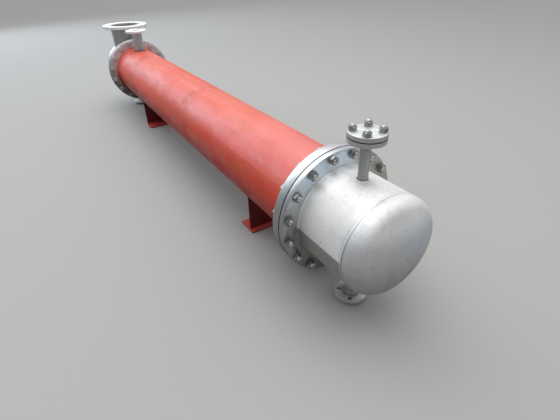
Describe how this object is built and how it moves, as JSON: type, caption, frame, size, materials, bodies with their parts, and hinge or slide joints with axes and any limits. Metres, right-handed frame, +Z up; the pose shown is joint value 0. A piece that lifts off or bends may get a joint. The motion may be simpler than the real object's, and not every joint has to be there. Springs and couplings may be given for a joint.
{
  "type": "shell and tube heat exchanger",
  "caption": "Horizontal fixed-tubesheet heat exchanger: primed steel shell on two saddles, bolted stainless bonnets with dished heads, flanged nozzles, vent and drains.",
  "frame": {"origin": "middle of the whole length and width, on the level that the saddles stand on", "axes": "+X along the tubes towards the short bonnet with the blind-flanged vent, +Z up, +Y to the left when looking along +X"},
  "size_m": [3.8692, 0.54, 0.755],
  "materials": {
    "red_primer": "semi-matte red oxide primer",
    "stainless": "pickled, matte",
    "machined_steel": "turned and faced",
    "tube_steel": "drawn tube",
    "gasket": "matte sheet",
    "bolt_steel": "stainless bolts and nuts",
    "weld": "weld bead"
  },
  "bodies": {
    "root": {"shell": "red_primer", "tube_bundle": "tube_steel", "near_saddle_base": "red_primer", "near_saddle_web": "red_primer", "near_saddle_rib": "red_primer", "far_saddle_base": "red_primer", "far_saddle_web": "red_primer", "far_saddle_rib": "red_primer", "near_tubesheet": "machined_steel", "near_gasket": "gasket", "near_bonnet_flange": "machined_steel", "near_bonnet_barrel": "stainless", "near_bonnet_head": "stainless", "near_drain_pipe": "stainless", "near_drain_flange": "machined_steel", "far_tubesheet": "machined_steel", "far_gasket": "gasket", "far_bonnet_flange": "machined_steel", "far_bonnet_barrel": "stainless", "far_bonnet_head": "stainless", "far_drain_pipe": "stainless", "far_drain_flange": "machined_steel", "vent_pipe": "stainless", "vent_flange": "machined_steel", "large_nozzle_pipe": "stainless", "large_nozzle_flange": "machined_steel", "shell_inlet_pipe": "stainless", "shell_inlet_flange": "machined_steel", "shell_outlet_pipe": "stainless", "shell_outlet_flange": "machined_steel", "vent_gasket": "gasket", "vent_blind_flange": "machined_steel"}
  },
  "joints": []
}
